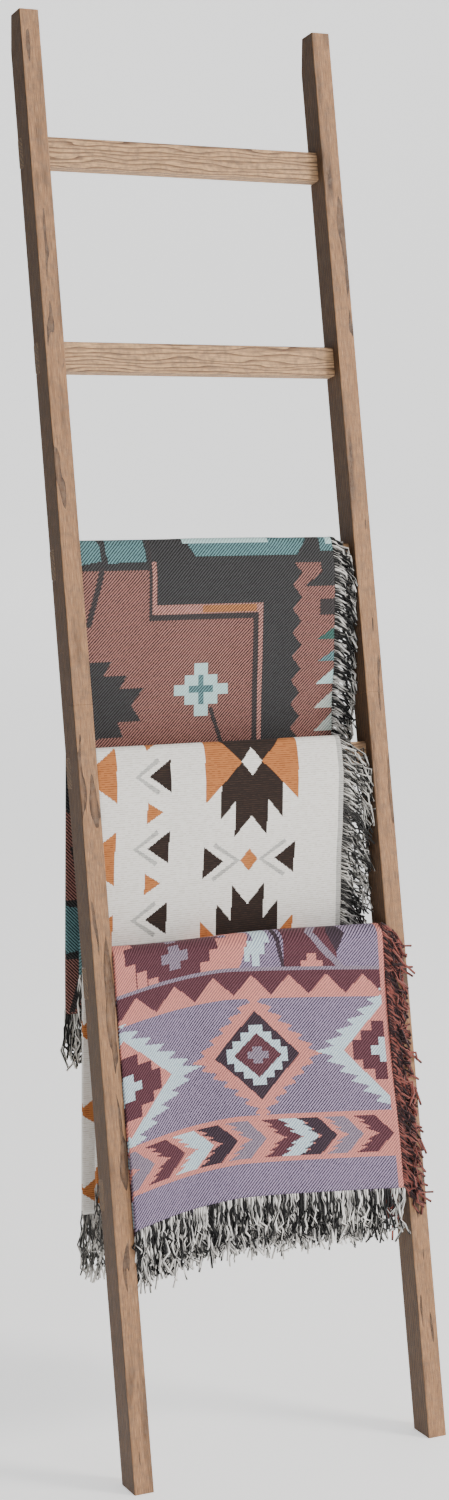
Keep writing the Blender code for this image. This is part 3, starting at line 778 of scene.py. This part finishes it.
def make_fringe_tree():
    """Geometry nodes that tie a strand at every step along the roots, and let it droop, curl and bunch."""
    tree = bpy.data.node_groups.new("fringe", "GeometryNodeTree")
    face = tree.interface
    face.new_socket("Roots", in_out="INPUT", socket_type="NodeSocketGeometry")
    for label in ("Strand spacing", "Strand length", "Strand width", "Droop", "Untidiness", "Bunch size"):
        face.new_socket(label, in_out="INPUT", socket_type="NodeSocketFloat")
    face.new_socket("Seed", in_out="INPUT", socket_type="NodeSocketInt")
    face.new_socket("Yarn", in_out="INPUT", socket_type="NodeSocketMaterial")
    face.new_socket("Fringe", in_out="OUTPUT", socket_type="NodeSocketGeometry")
    given = tree.nodes.new("NodeGroupInput").outputs

    # A root at every step along the edges, which keeps its place, its own stray way, its length and its tone
    lines = add(tree, "GeometryNodeMeshToCurve", given["Roots"])
    lines = add(tree, "GeometryNodeResampleCurve", lines, named={"Length": given["Strand spacing"]},
                mode="LENGTH")
    roots = add(tree, "GeometryNodeCurveToPoints", lines, mode="EVALUATED")
    seed = {"Seed": given["Seed"]}
    lean = add(tree, "FunctionNodeRandomValue", (-1, -1, -1), (1, 1, 1), named=seed, data_type="FLOAT_VECTOR")
    share = add(tree, "FunctionNodeRandomValue", 0.74, 1.08, named=seed, data_type="FLOAT")
    size = add(tree, "ShaderNodeMath", share, given["Strand length"], operation="MULTIPLY")
    tone = add(tree, "FunctionNodeRandomValue", 0.0, 1.0, named=seed, data_type="FLOAT")
    for label, value, kind in (
            ("root", add(tree, "GeometryNodeInputPosition"), "FLOAT_VECTOR"), ("lean", lean, "FLOAT_VECTOR"),
            ("size", size, "FLOAT"), ("tone", tone, "FLOAT")):
        roots = add(tree, "GeometryNodeStoreNamedAttribute", roots, True, label, value, data_type=kind,
                    domain="POINT")
    strand = add(tree, "GeometryNodeCurvePrimitiveLine", (0, 0, 0), (0, 0, 0.001))
    strand = add(tree, "GeometryNodeResampleCurve", strand, named={"Count": 7}, mode="COUNT")
    strands = add(tree, "GeometryNodeInstanceOnPoints", roots, named={"Instance": strand})
    strands = add(tree, "GeometryNodeRealizeInstances", strands)

    # Each point of a strand: out from its root, down by its weight, astray, and curled with its neighbours
    root, lean, aim, guard = [add(tree, "GeometryNodeInputNamedAttribute", label, data_type="FLOAT_VECTOR")
                              for label in ("root", "lean", "aim", "guard")]
    size, limit = [add(tree, "GeometryNodeInputNamedAttribute", label, data_type="FLOAT")
                   for label in ("size", "reach")]
    along = add(tree, "GeometryNodeSplineParameter")
    length = add(tree, "ShaderNodeMath", along, size, operation="MULTIPLY")
    swing = add(tree, "ShaderNodeMath", along, 1.6, operation="POWER")
    swing = add(tree, "ShaderNodeMath", swing, size, operation="MULTIPLY")
    drop = add(tree, "ShaderNodeMath", swing, given["Droop"], operation="MULTIPLY")
    drop = add(tree, "ShaderNodeMath", drop, -1.0, operation="MULTIPLY")
    fall = add(tree, "ShaderNodeCombineXYZ", 0.0, 0.0, drop)
    out = add(tree, "ShaderNodeVectorMath", aim, named={"Scale": length}, operation="SCALE")
    loose = add(tree, "ShaderNodeMath", swing, given["Untidiness"], operation="MULTIPLY")
    stray = add(tree, "ShaderNodeVectorMath", lean, named={"Scale": loose}, operation="SCALE")
    bunch = add(tree, "ShaderNodeMath", 1.0, given["Bunch size"], operation="DIVIDE")
    lie = add(tree, "ShaderNodeVectorMath", root, named={"Scale": bunch}, operation="SCALE")
    height = add(tree, "ShaderNodeCombineXYZ", 0.0, 0.0, along)
    lie = add(tree, "ShaderNodeVectorMath", lie, height, operation="ADD")
    curl = add(tree, "ShaderNodeTexNoise", lie, None, 1.0, 2.0).node.outputs["Color"]
    curl = add(tree, "ShaderNodeVectorMath", curl, (0.5, 0.5, 0.5), operation="SUBTRACT")
    depth = add(tree, "ShaderNodeMath", length, 1.1, operation="MULTIPLY")
    curl = add(tree, "ShaderNodeVectorMath", curl, named={"Scale": depth}, operation="SCALE")
    spot = add(tree, "ShaderNodeVectorMath", root, out, operation="ADD")
    for part in (fall, stray, curl):
        spot = add(tree, "ShaderNodeVectorMath", spot, part, operation="ADD")

    # A point past its guard plane is pushed back on to it
    past = add(tree, "ShaderNodeVectorMath", spot, guard, operation="DOT_PRODUCT")
    past = add(tree, "ShaderNodeMath", limit, past, operation="SUBTRACT")
    past = add(tree, "ShaderNodeMath", past, 0.0, operation="MAXIMUM")
    back = add(tree, "ShaderNodeVectorMath", guard, named={"Scale": past}, operation="SCALE")
    spot = add(tree, "ShaderNodeVectorMath", spot, back, operation="ADD")
    strands = add(tree, "GeometryNodeSetPosition", strands, True, spot)
    strands = add(tree, "GeometryNodeStoreNamedAttribute", strands, True, "along", length, data_type="FLOAT",
                  domain="POINT")

    # Four-sided yarn along every strand
    half = add(tree, "ShaderNodeMath", given["Strand width"], 0.5, operation="MULTIPLY")
    ring = add(tree, "GeometryNodeCurvePrimitiveCircle", 4, named={"Radius": half})
    around = add(tree, "GeometryNodeSplineParameter")
    ring = add(tree, "GeometryNodeStoreNamedAttribute", ring, True, "around", around, data_type="FLOAT",
               domain="POINT")
    twist = add(tree, "GeometryNodeCurveToMesh", strands, ring, named={"Fill Caps": True})
    twist = add(tree, "GeometryNodeSetShadeSmooth", twist)
    twist = add(tree, "GeometryNodeRealizeInstances", twist)
    twist = add(tree, "GeometryNodeSetMaterial", twist, named={"Material": given["Yarn"]})
    add(tree, "NodeGroupOutput", twist)
    return tree


def make_yarn(name, end_pair, side_pair):
    """Two-ply cotton yarn: a dark and a pale ply twisted together, so each strand is flecked along it."""
    material, tree = new_material(name)
    along, around, tone, on_end = [add(tree, "ShaderNodeAttribute", attribute_name=label).node.outputs["Fac"]
                                   for label in ("along", "around", "tone", "end")]
    turn = add(tree, "ShaderNodeMath", along, TWISTS, around, operation="MULTIPLY_ADD")
    turn = add(tree, "ShaderNodeMath", turn, 0.5, operation="PINGPONG")
    turn = add(tree, "ShaderNodeMath", tone, 0.55, turn, operation="MULTIPLY_ADD")
    ply = add(tree, "ShaderNodeMapRange", turn, 0.58, 0.68, 0.0, 1.0)
    end = add(tree, "ShaderNodeMix", ply, linear(end_pair[0]), linear(end_pair[1]), data_type="RGBA")
    side = add(tree, "ShaderNodeMix", ply, linear(side_pair[0]), linear(side_pair[1]), data_type="RGBA")
    colour = add(tree, "ShaderNodeMix", on_end, side, end, data_type="RGBA")
    relief = add(tree, "ShaderNodeBump", 0.6, 0.0005, named={"Height": ply})
    yarn = add(tree, "ShaderNodeBsdfPrincipled", colour, named={
        "Roughness": 0.9, "Sheen Weight": 0.15, "Sheen Roughness": 0.5, "Normal": relief})
    finish_material(tree, yarn)
    return material


def tie_fringe(name, grid, tree, yarn, **sizes):
    """Make one throw's fringe, along both free side edges and both ends."""
    fringe = place(f"{name}_fringe", root_mesh(name, grid), yarn)
    knots = fringe.modifiers.new("fringe", "NODES")
    knots.node_group = tree
    sockets = {item.name: item.identifier for item in tree.interface.items_tree}
    for label, value in sizes.items():
        knots[sockets[label.replace("_", " ").capitalize()]] = value
    knots[sockets["Yarn"]] = yarn
    applied(fringe)
    return fringe


# ---------------------------------------------------------------- wood and steel

RING = 0.0046                     # from one year ring to the next
HEART = (0.004, 0.012, 0.0)       # where the heart of the tree lies in a piece's section


def make_wood(name, on_rung, pale, middle, dark):
    """Softwood, sawn, brushed and stained: cathedral rings, dark late wood, pale brushed fibres and knots,
    with painted shade on the faces turned sideways.

    The fibres are drawn about 2 mm apart, coarser than real, so that they show."""
    material, tree = new_material(name)
    here = add(tree, "ShaderNodeTexCoord").node.outputs["Object"]
    upright = add(tree, "ShaderNodeMapping", here, None, (LEAN, 0, 0))
    split = add(tree, "ShaderNodeSeparateXYZ", upright).node.outputs
    if on_rung:
        level = add(tree, "ShaderNodeMath", split["Z"], LOWEST_RUNG, operation="SUBTRACT")
        level = add(tree, "ShaderNodeMath", level, RUNG_PITCH, operation="MODULO")
        a, b, grain = level, split["Y"], split["X"]
    else:
        beside = add(tree, "ShaderNodeMath", split["X"], operation="ABSOLUTE")
        a = add(tree, "ShaderNodeMath", beside, (OVERALL_WIDTH - RAIL_WIDTH) / 2, operation="SUBTRACT")
        b, grain = split["Y"], split["Z"]
    board = add(tree, "ShaderNodeMath", split["Z" if on_rung else "X"], 7.0, operation="MULTIPLY")
    slow = add(tree, "ShaderNodeCombineXYZ", board, 0.0, grain)
    wander = add(tree, "ShaderNodeTexNoise", slow, None, 1.7, 1.0).node.outputs["Color"]
    wander = add(tree, "ShaderNodeVectorMath", wander, (0.5, 0.5, 0.5), operation="SUBTRACT")
    wander = add(tree, "ShaderNodeVectorMath", wander, (0.030, 0.014, 0.0), operation="MULTIPLY")
    section = add(tree, "ShaderNodeCombineXYZ", a, b, 0.0)
    heart = add(tree, "ShaderNodeVectorMath", section, HEART, operation="SUBTRACT")
    heart = add(tree, "ShaderNodeVectorMath", heart, wander, operation="ADD")
    lengthwise = add(tree, "ShaderNodeCombineXYZ", a, b, grain)
    wobble = add(tree, "ShaderNodeMapping", lengthwise, None, None, (30.0, 30.0, 3.0))
    wobble = add(tree, "ShaderNodeTexNoise", wobble, None, 1.0, 2.0)
    radius = add(tree, "ShaderNodeVectorMath", heart, operation="LENGTH")
    radius = add(tree, "ShaderNodeMath", wobble, 0.0009, radius, operation="MULTIPLY_ADD")
    ring = add(tree, "ShaderNodeMath", radius, RING, operation="DIVIDE")
    ring = add(tree, "ShaderNodeMath", ring, operation="FRACT")
    late = add(tree, "ShaderNodeMapRange", ring, 0.45, 0.97, 0.0, 1.0)
    fibre = add(tree, "ShaderNodeMapping", lengthwise, None, None, (520.0, 520.0, 7.0))
    fibre = add(tree, "ShaderNodeTexNoise", fibre, None, 1.0, 3.0)
    streak = add(tree, "ShaderNodeMapping", lengthwise, None, None, (130.0, 130.0, 3.0))
    streak = add(tree, "ShaderNodeTexNoise", streak, None, 1.0, 2.0)
    knot = add(tree, "ShaderNodeCombineXYZ", a, board, grain)
    knot = add(tree, "ShaderNodeMapping", knot, None, None, (16.0, 1.0, 6.5))
    knot = add(tree, "ShaderNodeTexVoronoi", knot, None, 1.0)
    knot = add(tree, "ShaderNodeMapRange", knot, 0.05, 0.14, 1.0, 0.0)
    tone = add(tree, "ShaderNodeMix", late, linear(pale), linear(dark), data_type="RGBA")
    body = add(tree, "ShaderNodeMapRange", streak, 0.35, 0.75, 0.0, 0.40)
    tone = add(tree, "ShaderNodeMix", body, tone, linear(middle), data_type="RGBA")
    patch = add(tree, "ShaderNodeTexNoise", here, None, 5.5, 2.0)
    weathered = add(tree, "ShaderNodeMapRange", patch, 0.42, 0.66, 0.0, 0.55)
    tone = add(tree, "ShaderNodeMix", weathered, tone, linear("#826a58"), data_type="RGBA")
    thin = add(tree, "ShaderNodeMapRange", fibre, 0.34, 0.66, 0.52, 1.22)
    tone = add(tree, "ShaderNodeVectorMath", tone, thin, operation="MULTIPLY")
    brushed = add(tree, "ShaderNodeMapRange", fibre, 0.58, 0.70, 0.0, 0.45)
    tone = add(tree, "ShaderNodeMix", brushed, tone, linear("#d0a981"), data_type="RGBA")
    tone = add(tree, "ShaderNodeMix", knot, tone, linear("#4b3121"), data_type="RGBA")
    # Painted shade: faces turned sideways, along X, are darkened to as little as 40 % of their tone, so the
    # side faces look shaded from the light
    facing = add(tree, "ShaderNodeTexCoord").node.outputs["Normal"]
    facing = add(tree, "ShaderNodeSeparateXYZ", facing)
    facing = add(tree, "ShaderNodeMath", facing, operation="ABSOLUTE")
    painted_side_shade = add(tree, "ShaderNodeMapRange", facing, 0.55, 0.95, 1.0, 0.40)
    tone = add(tree, "ShaderNodeVectorMath", tone, painted_side_shade, operation="MULTIPLY")
    relief = add(tree, "ShaderNodeMath", late, -0.6, fibre, operation="MULTIPLY_ADD")
    bump = add(tree, "ShaderNodeBump", 0.45, 0.0008, named={"Height": relief})
    rough = add(tree, "ShaderNodeMapRange", late, 0.0, 1.0, 0.72, 0.52)
    wood = add(tree, "ShaderNodeBsdfPrincipled", tone, named={"Roughness": rough, "Normal": bump})
    finish_material(tree, wood)
    return material


def make_zinc():
    """Zinc-plated steel screws: a bright plate, dulled in cloudy patches."""
    material, tree = new_material("zinc_plated_steel")
    here = add(tree, "ShaderNodeTexCoord").node.outputs["Object"]
    cloud = add(tree, "ShaderNodeTexNoise", here, None, 900.0, 2.0)
    rough = add(tree, "ShaderNodeMapRange", cloud, 0.3, 0.7, 0.25, 0.48)
    tone = add(tree, "ShaderNodeMix", cloud, linear("#b9b6a8"), linear("#d9d7cf"), data_type="RGBA")
    zinc = add(tree, "ShaderNodeBsdfPrincipled", tone, named={"Metallic": 1.0, "Roughness": rough})
    finish_material(tree, zinc)
    return material


def finish_ladder():
    """Give every piece of the ladder its wood or steel."""
    rail_wood = make_wood("stained_softwood_rail", False, "#b98a62", "#87603f", "#331a0a")
    rung_wood = make_wood("stained_softwood_rung", True, "#e6b98a", "#b3845a", "#4a2812")
    zinc = make_zinc()
    for name, node in NODES.items():
        if "screw" in name:
            finish = zinc
        elif name.endswith("rail"):
            finish = rail_wood
        elif name.startswith("rung"):
            finish = rung_wood
        else:
            continue
        for slot in node.material_slots:
            slot.material = finish


# ---------------------------------------------------------------- studio

def make_camera():
    """Camera to the left of the ladder at chest height, turned to the right and down."""
    yaw, pitch, roll = 0.4665, -0.1286, 0.009
    forward = Vector((math.sin(yaw) * math.cos(pitch), math.cos(yaw) * math.cos(pitch), math.sin(pitch)))
    right = Vector((math.cos(yaw), -math.sin(yaw), 0))
    up = right.cross(forward)
    across = math.cos(roll) * right + math.sin(roll) * up
    upright = math.cos(roll) * up - math.sin(roll) * right
    camera = bpy.data.objects.new("camera", bpy.data.cameras.new("camera"))
    camera.data.lens = 62.5
    camera.data.sensor_width = 36
    camera.data.clip_start, camera.data.clip_end = 0.05, 60
    camera.matrix_world = Matrix((across, upright, -forward)).transposed().to_4x4()
    camera.location = (-1.48015, -2.92032, 1.2967)
    bpy.context.scene.collection.objects.link(camera)
    bpy.context.scene.camera = camera


def make_light(name, spot, target, size, power, colour):
    """A soft round light at a spot, turned to its target."""
    lamp = bpy.data.objects.new(name, bpy.data.lights.new(name, "AREA"))
    lamp.data.shape = "DISK"
    lamp.data.size = size
    lamp.data.energy = power
    lamp.data.color = linear(colour)[:3]
    lamp.location = spot
    lamp.rotation_euler = (Vector(target) - Vector(spot)).to_track_quat("-Z", "Y").to_euler()
    bpy.context.scene.collection.objects.link(lamp)


def make_studio():
    """Pale floor that curves up far away into a pale backdrop, and soft light from the front right."""
    shape = bmesh.new()
    rings = [(0, 0), (3, 0), (10, 0), (13.5, 0.1), (15, 0.6), (16, 1.8), (16.5, 4), (16.5, 14)]
    last = None
    for radius, height in rings:
        if radius == 0:
            ring = [shape.verts.new((0, 0, 0))]
        else:
            ring = [shape.verts.new((radius * math.cos(a), radius * math.sin(a), height))
                    for a in (2 * math.pi * k / 64 for k in range(64))]
        if last is not None:
            for k in range(64):
                after = (k + 1) % 64
                if len(last) == 1:
                    shape.faces.new((last[0], ring[k], ring[after]))
                else:
                    shape.faces.new((last[k], ring[k], ring[after], last[after]))
        last = ring
    bmesh.ops.recalc_face_normals(shape, faces=shape.faces)
    mesh = bpy.data.meshes.new("studio_floor")
    shape.to_mesh(mesh)
    shape.free()
    mesh.shade_smooth()
    # Matt pale paper that glows, apart from far to the left, so that the ladder's left sides stay dark
    material, tree = new_material("studio_paper")
    grain = add(tree, "ShaderNodeTexNoise", None, None, 3.0)
    tone = add(tree, "ShaderNodeMix", grain, linear("#f4f4f4"), linear("#f7f7f6"), data_type="RGBA")
    here = add(tree, "ShaderNodeTexCoord").node.outputs["Object"]
    across = add(tree, "ShaderNodeSeparateXYZ", here)
    lit = add(tree, "ShaderNodeMapRange", across, -5.5, -2.0, 0.0, 1.0)
    tone = add(tree, "ShaderNodeMix", lit, linear("#8f8f8f"), tone, data_type="RGBA")
    glow = add(tree, "ShaderNodeMath", lit, 0.80, operation="MULTIPLY")
    paper = add(tree, "ShaderNodeBsdfPrincipled", tone, named={
        "Roughness": 0.9, "Emission Color": linear("#ffffff"), "Emission Strength": glow})
    finish_material(tree, paper)
    floor = place("studio_floor", mesh, material)
    world = bpy.data.worlds.new("studio")
    world.use_nodes = True
    background = world.node_tree.nodes["Background"]
    background.inputs["Color"].default_value = linear("#ffffff")
    background.inputs["Strength"].default_value = 0.32
    bpy.context.scene.world = world
    make_light("key_light", (3.0, -2.4, 3.2), (0, 0, 0.9), 1.3, 135, "#fff8f0")
    make_light("fill_light", (0.6, -4.2, 2.0), (0, 0, 0.9), 2.4, 14, "#f2f6ff")


WEAVES = {"upper_throw": make_upper_weave, "middle_throw": make_middle_weave, "lower_throw": make_lower_weave}
# Dark and pale ply of each fringe, at the cloth's ends and at its sides
YARNS = {
    "upper_throw": (("#0c0c0c", "#f1eee8"), ("#0c0c0c", "#f1eee8")),
    "middle_throw": (("#3b3a38", "#dedbd4"), ("#2d2c2b", "#eeebe4")),
    "lower_throw": (("#0c0b0d", "#f6f3ee"), ("#260a10", "#9c574d")),
}
# In metres, and droop and untidiness as shares of a strand's length
FRINGE_SIZES = {
    "upper_throw": {"strand_spacing": 0.0034, "strand_length": 0.042, "strand_width": 0.0029, "droop": 0.80,
                    "untidiness": 0.10, "bunch_size": 0.016, "seed": 4},
    "middle_throw": {"strand_spacing": 0.0033, "strand_length": 0.050, "strand_width": 0.0023, "droop": 0.90,
                     "untidiness": 0.09, "bunch_size": 0.018, "seed": 7},
    "lower_throw": {"strand_spacing": 0.0036, "strand_length": 0.043, "strand_width": 0.0031, "droop": 0.55,
                    "untidiness": 0.13, "bunch_size": 0.016, "seed": 11},
}


def make_throw(name, tree):
    cloth, grid = hang_cloth(name, WEAVES[name]())
    yarn = make_yarn(f"two_ply_cotton_{name}", *YARNS[name])
    fringe = tie_fringe(name, grid, tree, yarn, **FRINGE_SIZES[name])
    words = ["side", "front"] if name == "lower_throw" else ["side", "front", "back"]
    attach(cloth, name)
    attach(fringe, name)
    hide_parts(name)
    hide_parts(*[f"{name}_{word}_fringe" for word in words])


finish_ladder()
fringe_tree = make_fringe_tree()
for throw_name in THROWS:
    make_throw(throw_name, fringe_tree)
make_camera()
make_studio()
